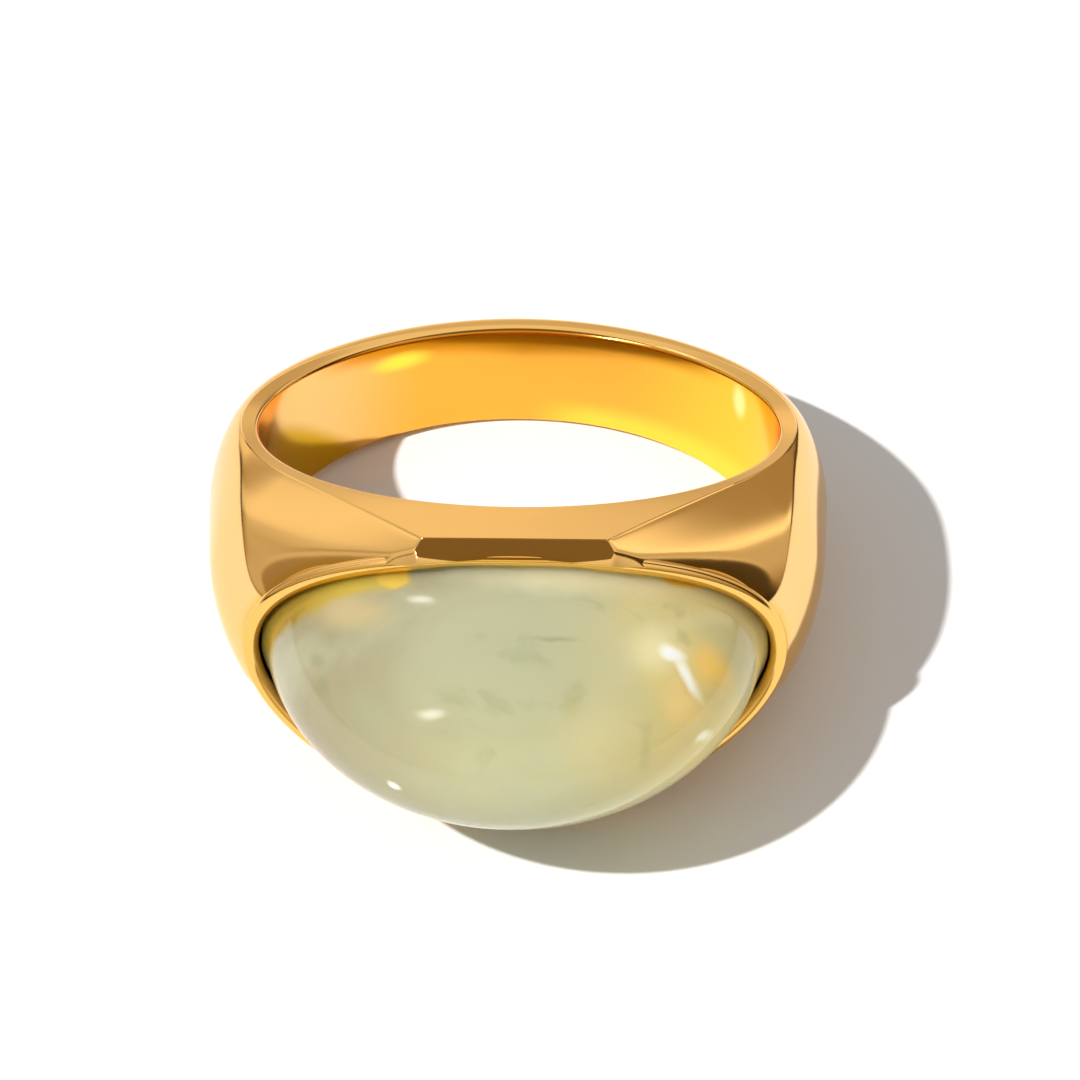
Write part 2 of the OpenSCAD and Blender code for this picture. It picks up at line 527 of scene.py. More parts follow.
def inwards(first):
    """Steps down a wall and across the floor behind it. The first number stays the same."""
    wall = [(first, step / WALL_STEPS, 0) for step in range(1, WALL_STEPS + 1)]
    return wall + [(first, 1, share) for share in FLOOR_SHARES]


def add_opening(sheet):
    def between(share):
        return blend(rim_angle, border_across * PATCH, share), blend(rim_wrap, border_up, share)

    lip_share = lip_shares(between)
    row = patch_border
    for share in PATCH_SHARES:
        place = crown_point(*between(blend(lip_share, 1, share)))
        inner = add_points(sheet, place)
        sheet.stitch(row, inner)
        row = inner
    rim = crown_point(rim_angle, rim_wrap)
    for lip in [(over, 0, 0) for over in np.linspace(LIP_START, 1, LIP_STEPS)] + inwards(1):
        inner = add_points(sheet, place, rim, lip)
        sheet.stitch(row, inner)
        row = inner
    middle = add_points(sheet, crown_point(0, 0.5), lip=(1, 1, 1))
    sheet.fan(row, middle[0])


add_opening(band_points)
print(band_points.count, "points and", len(band_points.faces), "faces in the band's sheet")

# %% [markdown]
# The bead grips the stone. It is a round tube along the rim. Its rows begin on the outer side, where
# it rises from the crown, and turn over it to the wall of the opening. `Outwards` is the direction
# square to the oval.

# %% The rule for every point of the band
BEAD_SWING = math.radians(300)
# Keeps a division from failing where the direction outwards has no length
NEARLY_NOTHING = 1e-9


def band_place(point, size):
    x, y, z = band_surface(point["angle"], point["station"], point["side"], size)
    rim_x, _, rim_z = band_surface(point["rim angle"], point["rim station"], point["rim side"], size)
    out_x = rim_x / (size["opening half length"] * size["opening half length"])
    out_z = rim_z / (size["opening half width"] * size["opening half width"])
    out_length = root(out_x * out_x + out_z * out_z + NEARLY_NOTHING)
    bead = bead_radius(rim_x, size)
    swing = (1 - point["over lip"]) * BEAD_SWING
    outwards = bead * (size["bead shift"] - sine(swing)) / out_length
    on_bead = is_over(point["over lip"], 0)
    shrink = 1 - point["to middle"]
    x = blend(x, rim_x + out_x * outwards, on_bead) * shrink
    z = blend(z, rim_z + out_z * outwards, on_bead) * shrink
    y = blend(y, bead_path(rim_x, size) + bead * cosine(swing), on_bead)
    y = blend(y, seat_floor(x, size["seat radius"], size["ledge"]), point["down wall"])
    return x, y, z


print("the band's rule has its bead")

# %% [markdown]
# The stone is a dome over an oval. A superellipse gives the outline and another the profile, which
# is a little pointed. Its flat edge, the girdle, goes straight back into the opening, and its back
# is hollowed along the finger so that it clears the hole. The dome is 0.03 mm lower than the solid's,
# because a smooth dome would otherwise reach a hair past the faceted one.

# %% The stone's sizes and rule
END_GAP = 0.48
SIDE_GAP = 0.13
SEAT_GAP = 0.05
stone_sizes = {
    "half length": opening_half_l - END_GAP,
    "half width": opening_half_w - SIDE_GAP,
    "girdle flare": 0.2,
    "flare height": 0.5,
    "girdle": finger_r + 0.95,
    "dome": 9.17,
    "outline power": 2.1,
    "profile power": 1.7,
    "back radius": band_sizes["seat radius"] + SEAT_GAP,
    "back ledge": band_sizes["ledge"] + SEAT_GAP,
}


def stone_place(point, size):
    rise = point["rise"] * QUARTER_TURN
    reach = power(cosine(rise), 2 / size["outline power"])
    domed = size["dome"] * power(sine(rise), 2 / size["profile power"])
    flare = size["girdle flare"] * exponential(0 - domed / size["flare height"])
    shrink = 1 - point["to middle"]
    x = (size["half length"] * reach + flare) * shrink * cosine(point["around"])
    z = size["half width"] * reach * shrink * sine(point["around"])
    dome = 0 - size["girdle"] - domed
    y = blend(dome, seat_floor(x, size["back radius"], size["back ledge"]), point["down edge"])
    return x, y, z


print("the stone is", round(2 * stone_sizes["half length"], 2), "mm long before its flare")

# %% The stone's sheet
STONE_STEPS = 256
DOME_STEPS = 72


def stone_sheet():
    sheet = Sheet("around", "rise", "down edge", "to middle")
    around = np.linspace(0, 2 * math.pi, STONE_STEPS + 1)[:-1]
    dome_steps = [(1 - ease(step / DOME_STEPS), 0, 0) for step in range(1, DOME_STEPS + 1)]
    top = sheet.add(around=0, rise=1, **{"down edge": 0, "to middle": 0})
    row = None
    for rise, down_edge, to_middle in dome_steps + inwards(0):
        outer = sheet.add(around=around, rise=rise, **{"down edge": down_edge, "to middle": to_middle})
        if row is None:
            sheet.fan(outer, top[0])
        else:
            sheet.stitch(outer, row)
        row = outer
    bottom = sheet.add(around=0, rise=0, **{"down edge": 1, "to middle": 1})
    sheet.fan(row[::-1], bottom[0])
    return sheet


stone_points = stone_sheet()
print(stone_points.count, "points in the stone's sheet")

# %% [markdown]
# A Geometry Nodes tree places the points of a sheet. Its inputs are the sizes above, by name, so
# the rule can be read and tried out in the node editor. The tree reads each point's numbers, works
# out the rule, leans the result into place and gives it its material.

# %% A tree that follows a rule


def wired_tree(name, kind):
    tree = bpy.data.node_groups.new(name, kind)
    tree.is_modifier = True
    for direction in ("INPUT", "OUTPUT"):
        tree.interface.new_socket("Geometry", in_out=direction, socket_type="NodeSocketGeometry")
    return tree


def spread_out(tree):
    """Lays the nodes out in columns, in the order in which they were made."""
    for place, node in enumerate(tree.nodes):
        node.location = (place // 10 * 180, -(place % 10) * 170)


def shape_tree(name, attributes, sizes, place, material):
    tree = wired_tree(name, "GeometryNodeTree")
    for size in sizes:
        tree.interface.new_socket(size, in_out="INPUT", socket_type="NodeSocketFloat")
    given = tree.nodes.new("NodeGroupInput")
    size_wires = {size: Wire(tree, given.outputs[size]) for size in sizes}
    point_wires = {}
    for attribute in attributes:
        reader = tree.nodes.new("GeometryNodeInputNamedAttribute")
        reader.data_type = "FLOAT"
        reader.inputs["Name"].default_value = attribute
        point_wires[attribute] = Wire(tree, reader.outputs["Attribute"])
    position = tree.nodes.new("ShaderNodeCombineXYZ")
    for socket, wire in zip(position.inputs, place(point_wires, size_wires)):
        tree.links.new(wire.socket, socket)
    steps = {kind: tree.nodes.new(f"GeometryNode{kind}") for kind in (
        "SetPosition", "Transform", "SetShadeSmooth", "RealizeInstances", "SetMaterial"
    )}
    tree.links.new(position.outputs[0], steps["SetPosition"].inputs["Position"])
    steps["Transform"].inputs["Translation"].default_value = hole_middle * MM
    steps["Transform"].inputs["Rotation"].default_value = (-lean, 0, 0)
    steps["Transform"].inputs["Scale"].default_value = (MM, MM, MM)
    steps["SetMaterial"].inputs["Material"].default_value = material
    flow = given.outputs["Geometry"]
    for node in steps.values():
        tree.links.new(flow, node.inputs["Geometry"])
        flow = node.outputs["Geometry"]
    done = tree.nodes.new("NodeGroupOutput")
    tree.links.new(flow, done.inputs["Geometry"])
    spread_out(tree)
    return tree


print("a rule can become a tree")

# %% [markdown]
# The tree goes on the sheet as a modifier. Its evaluated result is kept as a plain mesh and the
# modifier is removed, so that what is rendered is that plain mesh. A closed mesh encloses a
# volume, and the sign of that volume tells whether its faces point outwards.

# %% From a sheet to a finished piece


def made_piece(name, sheet, sizes, place, material):
    piece = bpy.data.objects.new(name, sheet.mesh(name + "_sheet"))
    bpy.context.scene.collection.objects.link(piece)
    modifier = piece.modifiers.new("shape", "NODES")
    modifier.node_group = shape_tree(name + "_rule", sheet.values, sizes, place, material)
    for item in modifier.node_group.interface.items_tree:
        if item.in_out == "INPUT" and item.name in sizes:
            modifier[item.identifier] = float(sizes[item.name])
    evaluated = piece.evaluated_get(bpy.context.evaluated_depsgraph_get())
    mesh = bpy.data.meshes.new_from_object(evaluated)
    mesh.name = name
    piece.modifiers.remove(modifier)
    piece.data = mesh
    for attribute in sheet.values:
        mesh.attributes.remove(mesh.attributes[attribute])
    return piece


def enclosed_volume(mesh):
    """Volume in cubic millimetres. It is positive where the faces point outwards."""
    mesh.calc_loop_triangles()
    corners = np.zeros(len(mesh.vertices) * 3)
    mesh.vertices.foreach_get("co", corners)
    triangles = np.zeros(len(mesh.loop_triangles) * 3, np.int32)
    mesh.loop_triangles.foreach_get("vertices", triangles)
    one, two, three = corners.reshape(-1, 3)[triangles.reshape(-1, 3)].transpose(1, 0, 2)
    return float(np.einsum("ij,ij->i", one, np.cross(two, three)).sum() / 6 / MM**3)


print("the piece maker is ready")

# %% [markdown]
# Materials are built with the same arithmetic. These helpers add the few kinds of node that it
# doesn't cover: noise, a blend of two colours, and the three axes of a vector.

# %% Helpers for materials


def new_material(name):
    material = bpy.data.materials.new(name)
    material.use_nodes = True
    return material, material.node_tree, material.node_tree.nodes["Principled BSDF"]


def object_place(tree):
    return tree.nodes.new("ShaderNodeTexCoord").outputs["Object"]


def noise(tree, coordinates, scale, detail=2.0, distortion=0.0):
    node = tree.nodes.new("ShaderNodeTexNoise")
    node.inputs["Scale"].default_value = scale
    node.inputs["Detail"].default_value = detail
    node.inputs["Distortion"].default_value = distortion
    tree.links.new(coordinates, node.inputs["Vector"])
    return Wire(tree, node.outputs["Fac"])


def mixed(tree, share, one, two):
    """Blends two colours. Each is a tuple or the output socket of a node."""
    node = tree.nodes.new("ShaderNodeMix")
    node.data_type = "RGBA"
    tree.links.new(share.socket, node.inputs["Factor"])
    for name, colour in (("A", one), ("B", two)):
        if isinstance(colour, tuple):
            node.inputs[name].default_value = (*colour, 1)
        else:
            tree.links.new(colour, node.inputs[name])
    return node.outputs["Result"]


def axes_of(tree, vector):
    split = tree.nodes.new("ShaderNodeSeparateXYZ")
    tree.links.new(vector, split.inputs[0])
    return [Wire(tree, split.outputs[axis]) for axis in "XYZ"]


print("helpers for materials are ready")

# %% [markdown]
# Real polish is never perfect. A very low waviness from the polishing wheel bends the reflections a
# little, and faint differences in the polish change the roughness. Both come from one node group,
# which the metal and the stone use with their own values.

# %% The polish, a group that both materials use
SMEARS_PER_METRE = 260
WAVES_PER_METRE = 420


def polish_group():
    """Puts out a roughness and a surface height for a polished surface."""
    group = bpy.data.node_groups.new("polish", "ShaderNodeTree")
    for name, kind in (("Coordinates", "Vector"), ("Roughness", "Float"), ("Unevenness", "Float")):
        group.interface.new_socket(name, in_out="INPUT", socket_type=f"NodeSocket{kind}")
    for name in ("Roughness", "Height"):
        group.interface.new_socket(name, in_out="OUTPUT", socket_type="NodeSocketFloat")
    given = group.nodes.new("NodeGroupInput")
    done = group.nodes.new("NodeGroupOutput")
    smear = noise(group, given.outputs["Coordinates"], SMEARS_PER_METRE, 3)
    waves = noise(group, given.outputs["Coordinates"], WAVES_PER_METRE, 1)
    roughness = Wire(group, given.outputs["Roughness"])
    unevenness = Wire(group, given.outputs["Unevenness"])
    group.links.new((roughness * (1 + unevenness * (smear - 0.5))).socket, done.inputs["Roughness"])
    group.links.new(waves.socket, done.inputs["Height"])
    spread_out(group)
    return group


polish = polish_group()


def add_polish(tree, shader, where, roughness, unevenness, wave_height):
    """Links the polish to a shader. The roughness is a number or a wire."""
    node = tree.nodes.new("ShaderNodeGroup")
    node.node_tree = polish
    if isinstance(roughness, Wire):
        tree.links.new(roughness.socket, node.inputs["Roughness"])
    else:
        node.inputs["Roughness"].default_value = roughness
    node.inputs["Unevenness"].default_value = unevenness
    tree.links.new(where, node.inputs["Coordinates"])
    tree.links.new(node.outputs["Roughness"], shader.inputs["Roughness"])
    bump = tree.nodes.new("ShaderNodeBump")
    bump.inputs["Distance"].default_value = wave_height
    tree.links.new(node.outputs["Height"], bump.inputs["Height"])
    tree.links.new(bump.outputs["Normal"], shader.inputs["Normal"])


print("node group:", polish.name)

# %% [markdown]
# A mark is a soft-edged ellipsoid in space. Wherever it cuts the surface, the surface takes on some
# of its colour. It has a middle, a reach along each axis, a turn, and a core in which it is full.

# %% The soft mark, a group for spots of colour


def mark_group():
    """Puts out a share that is 1 inside a soft-edged ellipsoid and 0 outside it."""
    group = bpy.data.node_groups.new("soft_mark", "ShaderNodeTree")
    sockets = {"Coordinates": "Vector", "Middle": "Location", "Turn": "Rotation", "Reach": "Scale"}
    for name in sockets:
        group.interface.new_socket(name, in_out="INPUT", socket_type="NodeSocketVector")
    group.interface.new_socket("Core", in_out="INPUT", socket_type="NodeSocketFloat")
    group.interface.new_socket("Share", in_out="OUTPUT", socket_type="NodeSocketFloat")
    given = group.nodes.new("NodeGroupInput")
    done = group.nodes.new("NodeGroupOutput")
    placing = group.nodes.new("ShaderNodeMapping")
    placing.vector_type = "TEXTURE"
    for name, target in sockets.items():
        group.links.new(given.outputs[name], placing.inputs[target])
    apart = group.nodes.new("ShaderNodeVectorMath")
    apart.operation = "LENGTH"
    group.links.new(placing.outputs["Vector"], apart.inputs[0])
    share = 1 - ramp(Wire(group, apart.outputs["Value"]), Wire(group, given.outputs["Core"]), 1)
    group.links.new(share.socket, done.inputs["Share"])
    spread_out(group)
    return group


soft_mark = mark_group()


def mark(tree, where, middle, reach, turn=0.0, core=0.2):
    """Adds a soft mark. Its turn, in degrees, is round the second axis."""
    node = tree.nodes.new("ShaderNodeGroup")
    node.node_tree = soft_mark
    tree.links.new(where, node.inputs["Coordinates"])
    node.inputs["Middle"].default_value = middle
    node.inputs["Turn"].default_value = (0, math.radians(turn), 0)
    node.inputs["Reach"].default_value = reach
    node.inputs["Core"].default_value = core
    return Wire(tree, node.outputs["Share"])


print("node group:", soft_mark.name)

# %% [markdown]
# Polished gold is a mirror, so its material is nearly all reflection: full metallic, low roughness.
# Inside the finger hole the light bounces from gold to gold, and every bounce makes it a deeper
# orange. That tone is painted here. The material finds the hole's wall by its distance from the
# finger axis, so its own coordinates first have to be turned upright, in millimetres.

# %% Colours of the gold
GOLD_TONES = {
    "outside": (0.94, 0.60, 0.24),
    "outside, paler": (0.92, 0.63, 0.27),
    "lip": (0.90, 0.56, 0.15),
    "hole, left": (0.85, 0.58, 0.22),
    "hole, middle": (0.98, 0.47, 0.06),
    "hole, right": (0.99, 0.60, 0.06),
    # Painted light and shade: a light stripe low down, reflected shadow, shade at the top, two
    # highlights
    "low stripe": (0.99, 0.70, 0.08),
    "dark wedge": (0.62, 0.36, 0.015),
    "top edge": (0.62, 0.25, 0.008),
    "yellow spot": (1.0, 0.80, 0.08),
    "bright streak": (1.0, 0.95, 0.38),
}


def upright_place(tree, where):
    """Coordinates in millimetres round an upright finger axis."""
    upright = tree.nodes.new("ShaderNodeMapping")
    upright.vector_type = "TEXTURE"
    upright.inputs["Location"].default_value = hole_middle * MM
    upright.inputs["Rotation"].default_value = (-lean, 0, 0)
    upright.inputs["Scale"].default_value = (MM, MM, MM)
    tree.links.new(where, upright.inputs["Vector"])
    return upright.outputs["Vector"]


def outside_colour(tree, where, x, y, z):
    """Gold with a faint change of tone, and a deeper tone on the lip."""
    colour = mixed(tree, noise(tree, where, 150), GOLD_TONES["outside"], GOLD_TONES["outside, paler"])
    oval = root(x * x / opening_half_l**2 + z * z / opening_half_w**2)
    lip = (1 - ramp(oval, 1.035, 1.06)) * ramp(0.04 * x * x - y, 10.2, 10.7)
    return mixed(tree, lip, colour, GOLD_TONES["lip"])


def hole_colour(tree, ring_place, x, y, z):
    """The finger hole's wall, left to right, with painted light, shade and highlights as stripes and
    spots.
    """
    colour = mixed(tree, ramp(x, -7.6, -3), GOLD_TONES["hole, left"], GOLD_TONES["hole, middle"])
    layers = {
        "hole, right": ramp(x, 3, 7.5),
        "low stripe": (1 - ramp(z, -1.5, -0.7)) * ramp(x, 0, 2.5),
        "dark wedge": 1 - ramp(z + 1.04 * x + 7.44, -0.5, 0.3),
        "top edge": ramp(z - without_sign(x) * 0.1, 0.55, 1.2) * ramp(y, 5, 7),
        "yellow spot": mark(tree, ring_place, (-4.1, 7.6, 1.05), (1.5, 1.6, 0.45)),
        "bright streak": mark(tree, ring_place, (7.4, 4.5, 1.35), (0.34, 0.9, 0.85)),
    }
    for tone, share in layers.items():
        colour = mixed(tree, share, colour, GOLD_TONES[tone])
    return colour


print(len(GOLD_TONES), "tones of gold")

# %% The gold
GOLD_ROUGHNESS = 0.12
HOLE_ROUGHER = 0.03


def polished_gold():
    material, tree, shader = new_material("polished_gold")
    shader.inputs["Metallic"].default_value = 1
    shader.inputs["Specular Tint"].default_value = (1.0, 0.86, 0.68, 1)
    where = object_place(tree)
    ring_place = upright_place(tree, where)
    x, y, z = axes_of(tree, ring_place)
    outside = outside_colour(tree, where, x, y, z)
    inner = hole_colour(tree, ring_place, x, y, z)
    inside = 1 - ramp(root(x * x + y * y), finger_r + 0.01, finger_r + 0.1)
    tree.links.new(mixed(tree, inside, outside, inner), shader.inputs["Base Color"])
    add_polish(tree, shader, where, GOLD_ROUGHNESS + HOLE_ROUGHER * inside, 0.5, 0.0000004)
    spread_out(tree)
    return material


gold = polished_gold()
print("material:", gold.name)

# %% [markdown]
# The cabochon is cloudy and translucent. Light goes in, scatters and comes out elsewhere, which
# subsurface scattering shows. Soft veils and dark wisps come from noise. The larger features are
# marks. They are fixed to the stone, in coordinates that are turned once to the photo's viewing
# angle: x to the right, then into the picture, then up, in millimetres. A little noise stirs those
# coordinates, so that no mark is a clean oval. Sunlight passes through the stone and gathers at its
# right end as a white flare and an orange glow, which are painted light in its colour. Also painted
# are a glow along its top, two highlights, and shade and reflections of the gold at its edges.

# %% Colours and marks of the stone
view_height = math.radians(29.44)
STIR = 0.4
STONE_TONES = {
    "left part": (0.25, 0.215, 0.13),
    "middle part": (0.42, 0.41, 0.25),
    "right part": (0.72, 0.60, 0.25),
    "veils": (0.46, 0.49, 0.35),
    "wisps": (0.27, 0.30, 0.15),
    "olive": (0.54, 0.40, 0.05),
    "deep olive": (0.26, 0.16, 0.006),
    "patch": (0.72, 0.49, 0.08),
    "left tip": (0.20, 0.15, 0.02),
    "right tip": (0.86, 0.70, 0.22),
}
# Painted light: the glows, the flare, the small light, the lowest highlight and the gold reflected in
# the edge.
# Each mark has a middle, a reach, a turn in degrees, a core, a colour and a share
STONE_MARKS = {
    "brown cast, left": ((-5.1, -10.5, 1.5), (2.0, 4, 0.9), 0, 0.2, (0.48, 0.38, 0.19), 0.7),
    "dark fleck, left": ((-6.1, -11.4, -0.9), (0.5, 3, 0.45), 30, 0.1, (0.20, 0.21, 0.09), 0.5),
    "fleck above it": ((-6.3, -11.2, 0.0), (0.35, 3, 0.4), -40, 0.1, (0.20, 0.21, 0.12), 0.4),
    "thin dark line": ((1.3, -14, 0.72), (1.2, 3, 0.13), 3, 0.1, (0.26, 0.30, 0.17), 0.55),
    "brown fleck": ((1.9, -15, -1.2), (0.5, 3, 0.7), 25, 0.1, (0.36, 0.32, 0.14), 0.3),
    "green veil": ((-4.3, -12.5, -1.9), (1.1, 3, 1.6), -20, 0.1, (0.32, 0.35, 0.23), 0.4),
    "yellow cast": ((3.6, -15, -2.4), (3.0, 4, 2.2), 0, 0.2, (0.60, 0.52, 0.26), 0.4),
    "pale top": ((1.6, -9.5, 3.0), (6.6, 6, 1.25), 3, 0.0, (0.98, 0.92, 0.55), 0.85),
    "glow, lower part": ((5.4, -12, -1.3), (1.1, 3, 1.2), 0, 0, (0.98, 0.68, 0.28), 0.6),
    "orange glow": ((6.3, -11, -0.1), (0.8, 3, 1.15), -35, 0, (1.0, 0.62, 0.14), 0.95),
    "haze of the flare": ((4.5, -12, 0.4), (1.5, 3, 1.1), 0, 0, (0.90, 0.86, 0.58), 0.5),
    "core of the flare": ((5.05, -12, 0.33), (0.6, 3, 0.36), 25, 0.2, (1.0, 1.0, 0.92), 1.0),
    "tail of the flare": ((5.6, -12, -0.45), (0.26, 3, 1.15), -33, 0.1, (1.0, 0.98, 0.85), 1.0),
    "small light, right": ((6.1, -11.5, -2.35), (0.2, 3, 0.4), 50, 0.2, (1.0, 0.97, 0.75), 0.9),
    "lowest highlight": ((-3.75, -13.6, -3.95), (0.34, 2, 0.13), 28, 0.1, (1.0, 1.0, 0.95), 0.85),
    "gold in the edge": ((5.4, -9.5, 2.55), (0.85, 3, 0.25), 13, 0.5, (0.92, 0.58, 0.05), 0.9),
}


def stirred_place(tree, where):
    """Coordinates in millimetres, turned to the photo's viewing angle and stirred."""
    turned = tree.nodes.new("ShaderNodeMapping")
    turned.inputs["Rotation"].default_value = (view_height + lean, 0, 0)
    turned.inputs["Scale"].default_value = (1 / MM, 1 / MM, 1 / MM)
    tree.links.new(where, turned.inputs["Vector"])
    stir = tree.nodes.new("ShaderNodeTexNoise")
    stir.inputs["Scale"].default_value = 0.9
    stir.inputs["Detail"].default_value = 1.5
    tree.links.new(turned.outputs["Vector"], stir.inputs["Vector"])
    shifted = tree.nodes.new("ShaderNodeVectorMath")
    shifted.operation = "SUBTRACT"
    tree.links.new(turned.outputs["Vector"], shifted.inputs[0])
    shifted.inputs[1].default_value = (STIR / 2, STIR / 2, STIR / 2)
    stirred = tree.nodes.new("ShaderNodeVectorMath")
    stirred.operation = "MULTIPLY_ADD"
    tree.links.new(stir.outputs["Color"], stirred.inputs[0])
    stirred.inputs[1].default_value = (STIR, STIR, STIR)
    tree.links.new(shifted.outputs["Vector"], stirred.inputs[2])
    return stirred.outputs["Vector"]


print(len(STONE_MARKS), "marks in the stone")

# %% The stone's colour


def cloudy_colour(tree, where, place, x):
    """Left to right, tones painted darker and then lighter, veils and wisps from noise, and the marks.
    """
    tones = STONE_TONES
    colour = mixed(tree, ramp(x, -8, 1), tones["left part"], tones["middle part"])
    colour = mixed(tree, ramp(x, 0, 6.5), colour, tones["right part"])
    veils = ramp(noise(tree, where, 170, 4, 0.6), 0.40, 0.66)
    colour = mixed(tree, veils * 0.35, colour, tones["veils"])
    wisps = ramp(noise(tree, where, 330, 5, 1.5), 0.58, 0.72)
    colour = mixed(tree, wisps * 0.3, colour, tones["wisps"])
    for middle, reach, turn, core, tint, share in STONE_MARKS.values():
        colour = mixed(tree, mark(tree, place, middle, reach, turn, core) * share, colour, tint)
    return colour


def painted_edge_shade_and_gold(tree, colour, place, x, up):
    """Painted shade and gold reflections: olive under the lip and a gold patch at upper left, and the
    tips.
    """
    tones = STONE_TONES
    bow = least(x + 3.6, 0)
    olive = ramp(up + 0.11 * bow * bow, 2.1, 2.6) * ramp(0 - x, 3.1, 3.6)
    olive_tone = mixed(tree, ramp(0 - x, 5, 7.6), tones["olive"], tones["deep olive"])
    colour = mixed(tree, olive * 0.9, colour, olive_tone)
    patch = mark(tree, place, (-3.85, -10.6, 2.65), (0.65, 3, 0.42), 10, 0.6)
    colour = mixed(tree, patch * 0.9, colour, tones["patch"])
    tip_tone = mixed(tree, is_over(x, 0), tones["left tip"], tones["right tip"])
    return mixed(tree, ramp(without_sign(x), 7.8, 8.05) * 0.9, colour, tip_tone)


print(len(STONE_TONES), "tones of green, olive and gold in the stone")

# %% The stone's material


def cabochon_material():
    material, tree, shader = new_material("cloudy_cabochon")
    where = object_place(tree)
    add_polish(tree, shader, where, 0.075, 0.3, 0.0000002)
    place = stirred_place(tree, where)
    x, _, up = axes_of(tree, place)
    colour = painted_edge_shade_and_gold(tree, cloudy_colour(tree, where, place, x), place, x, up)
    tree.links.new(colour, shader.inputs["Base Color"])
    shader.inputs["IOR"].default_value = 1.62
    shader.inputs["Specular IOR Level"].default_value = 0.2
    shader.inputs["Subsurface Weight"].default_value = 1
    shader.inputs["Subsurface Radius"].default_value = (1.0, 1.0, 0.8)
    shader.inputs["Subsurface Scale"].default_value = 0.004
    spread_out(tree)
    return material


cabochon = cabochon_material()
print("material:", cabochon.name)

# %% [markdown]
# Now the two pieces are made from their sheets. Each one hides its CAD node, the band or the
# stone, and is attached to the root body.

# %% Make the band and the stone
pieces = {
    "polished_band": (band_points, band_sizes, band_place, gold, "band", "gold"),
    "cabochon": (stone_points, stone_sizes, stone_place, cabochon, "stone", "cabochon"),
}
for name, (sheet, sizes, place, material, node, slot) in pieces.items():
    piece = made_piece(name, sheet, sizes, place, material)
    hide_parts(node)
    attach(piece, "root")
    print(name, len(piece.data.polygons), "faces,", round(enclosed_volume(piece.data), 1), "mm3")

# %% [markdown]
# The table is white and far larger than the view. In the polished gold, though, its edges show as
# thin dark lines, and those lines draw the ridges of the shoulders. So reflections see only a long,
# narrow table top, and the white floor beside it and behind it stays out of them.

# %% The table
TABLE_HALF_W = 75
TABLE_FAR = 55
FLOOR_REACH = 1500
FLOOR_TONES = ((0.88, 0.88, 0.88), (0.9, 0.9, 0.9))


def floor_material():
    material, tree, shader = new_material("white_table")
    tone = ramp(noise(tree, object_place(tree), 40, 3), 0.2, 0.8)
    tree.links.new(mixed(tree, tone, *FLOOR_TONES), shader.inputs["Base Color"])
    shader.inputs["Roughness"].default_value = 0.9
    shader.inputs["Specular IOR Level"].default_value = 0.1
    return material


white_table = floor_material()


def flat_strip(name, left, right, near, far):
    corners = [(left, near), (right, near), (right, far), (left, far)]
    mesh = bpy.data.meshes.new(name)
    mesh.from_pydata([(x * MM, y * MM, 0) for x, y in corners], [], [(0, 1, 2, 3)])
    mesh.materials.append(white_table)
    strip = bpy.data.objects.new(name, mesh)
    bpy.context.scene.collection.objects.link(strip)
    return strip


flat_strip("table_top", -TABLE_HALF_W, TABLE_HALF_W, -FLOOR_REACH, TABLE_FAR)
for name, *edges in (
    ("floor_left", -FLOOR_REACH, -TABLE_HALF_W, -FLOOR_REACH, FLOOR_REACH),
    ("floor_right", TABLE_HALF_W, FLOOR_REACH, -FLOOR_REACH, FLOOR_REACH),
    ("floor_behind", -TABLE_HALF_W, TABLE_HALF_W, TABLE_FAR, FLOOR_REACH),
):
    flat_strip(name, *edges).visible_glossy = False
print("table top", 2 * TABLE_HALF_W, "mm wide on a floor of", 2 * FLOOR_REACH, "mm")

# %% [markdown]
# The light is a sun that stands halfway up at the front left. It casts the long shadow, whose edge is
# a little soft, and reflections don't show it. A second, weaker sun reaches the metal alone and gives
# it its small glints.

# %% The two suns
SUN_TRAVEL = Vector((0.551, 0.447, -0.705))
SUN_STRENGTH = 3.9
GLINT_STRENGTH = 2


def add_sun(name, data):
    sun = bpy.data.objects.new(name, data)
    sun.rotation_euler = SUN_TRAVEL.to_track_quat("-Z", "Y").to_euler()
    bpy.context.scene.collection.objects.link(sun)
    return sun


sun_data = bpy.data.lights.new("sun", "SUN")
sun_data.energy = SUN_STRENGTH
sun_data.angle = math.radians(1.6)
sun_data.color = (1.0, 0.995, 0.98)
add_sun("sun", sun_data).visible_glossy = False

glint = add_sun("sun_glint", sun_data.copy())
glint.data.energy = GLINT_STRENGTH
glint.visible_diffuse = False
glint.light_linking.receiver_collection = bpy.data.collections.new("metal")
glint.light_linking.receiver_collection.objects.link(bpy.data.objects["polished_band"])
print("sun height in degrees:", round(math.degrees(math.asin(-SUN_TRAVEL.normalized().z)), 1))

# %% [markdown]
# Mirror metal shows the room itself, so the reflections get a room of their own. Its walls brighten
# upwards, and a pale card stands behind the ring. The ceiling is dark, and so are a gap in the wall
# on the right, and a line and a patch on the left. Two lamps make the highlights. Everything else
# sees an even pale fill, which brightens the shadow.
# The plan gives bearings and heights in degrees. Bearings count from straight behind the ring, to
# the right. Two numbers say where a thing begins and is full, and four also where it fades and ends.

